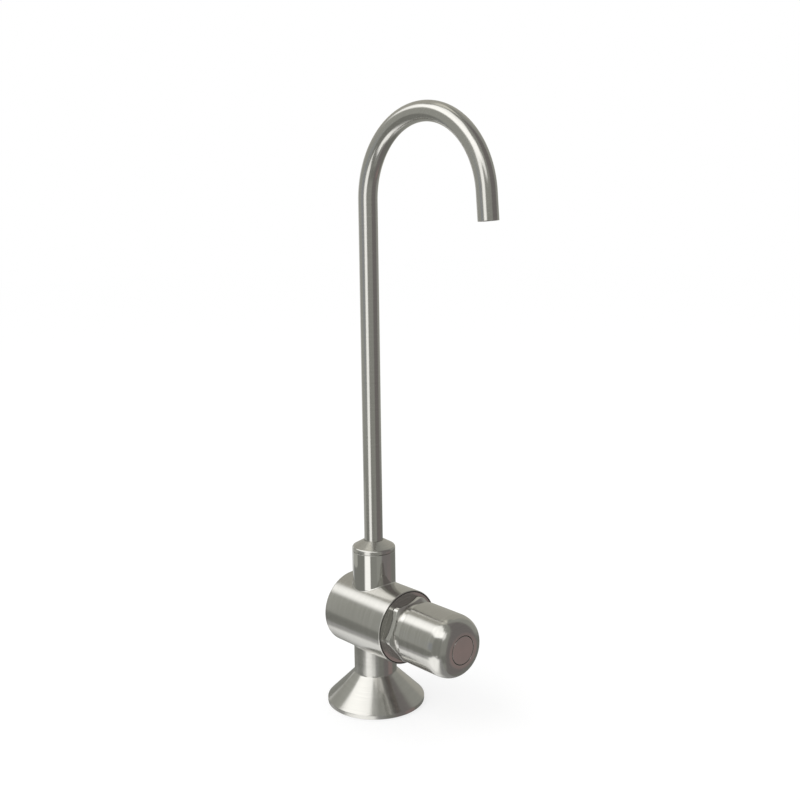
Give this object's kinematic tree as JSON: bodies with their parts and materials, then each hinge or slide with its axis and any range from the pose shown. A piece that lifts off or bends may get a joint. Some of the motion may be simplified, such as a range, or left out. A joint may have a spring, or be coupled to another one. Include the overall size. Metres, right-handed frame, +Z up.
{
  "type": "bottle filling tap",
  "caption": "Push-button bottle filling tap: flared round foot, horizontal valve barrel with hexagonal bonnet and smooth round knob, and a tall thin gooseneck that swivels.",
  "frame": {"origin": "centre of the mouth of the threaded inlet, in the plane of the foot's underside", "axes": "+Z up along the stem; the knob and the spout's outlet point along -Y; +X to the right when the knob faces the viewer"},
  "size_m": [0.0508, 0.1113, 0.3041],
  "materials": {
    "brushed_stainless": "turned and brushed satin",
    "polished_stainless": "mirror polished",
    "plain_stainless": "machined",
    "brass": "machined",
    "black_rubber": "matt",
    "white_plastic": "matt"
  },
  "bodies": {
    "root": {"foot": "brushed_stainless", "base_gasket": "black_rubber", "inlet_washer": "black_rubber", "inlet_strainer": "plain_stainless", "flow_restrictor": "white_plastic", "barrel": "brushed_stainless", "valve_seat": "brass", "seat_o_ring": "black_rubber", "valve_cage": "brass", "bonnet": "polished_stainless", "bonnet_o_ring": "black_rubber", "knob_guide_ring": "white_plastic", "gland_bush": "brass", "gland_o_rings": "black_rubber", "return_spring": "plain_stainless", "outlet_boss": "polished_stainless", "spout_cap": "brushed_stainless", "spout_slip_washers": "white_plastic"},
    "button": {"push_knob": "brushed_stainless", "index_disc": "brushed_stainless", "knob_screw": "plain_stainless", "spindle": "plain_stainless", "dashpot_piston": "brass", "piston_seal": "black_rubber", "piston_clip": "plain_stainless", "valve_washer": "black_rubber", "washer_carrier": "brass", "washer_screw": "plain_stainless"},
    "spout": {"spout_tube": "brushed_stainless", "spout_collar": "brass", "spout_o_rings": "black_rubber"}
  },
  "joints": [
    {"name": "button_press", "type": "slide", "parent": "root", "child": "button", "axis": [0, 1, 0], "range_m": [0, 0.0045], "stiffness_N_per_m": 2500, "springref_m": -0.006, "deforming": ["return_spring"]},
    {"name": "spout_swivel", "type": "hinge", "parent": "root", "child": "spout", "pos_m": [0, 0, 0.0822], "axis": [0, 0, 1], "continuous": true}
  ]
}
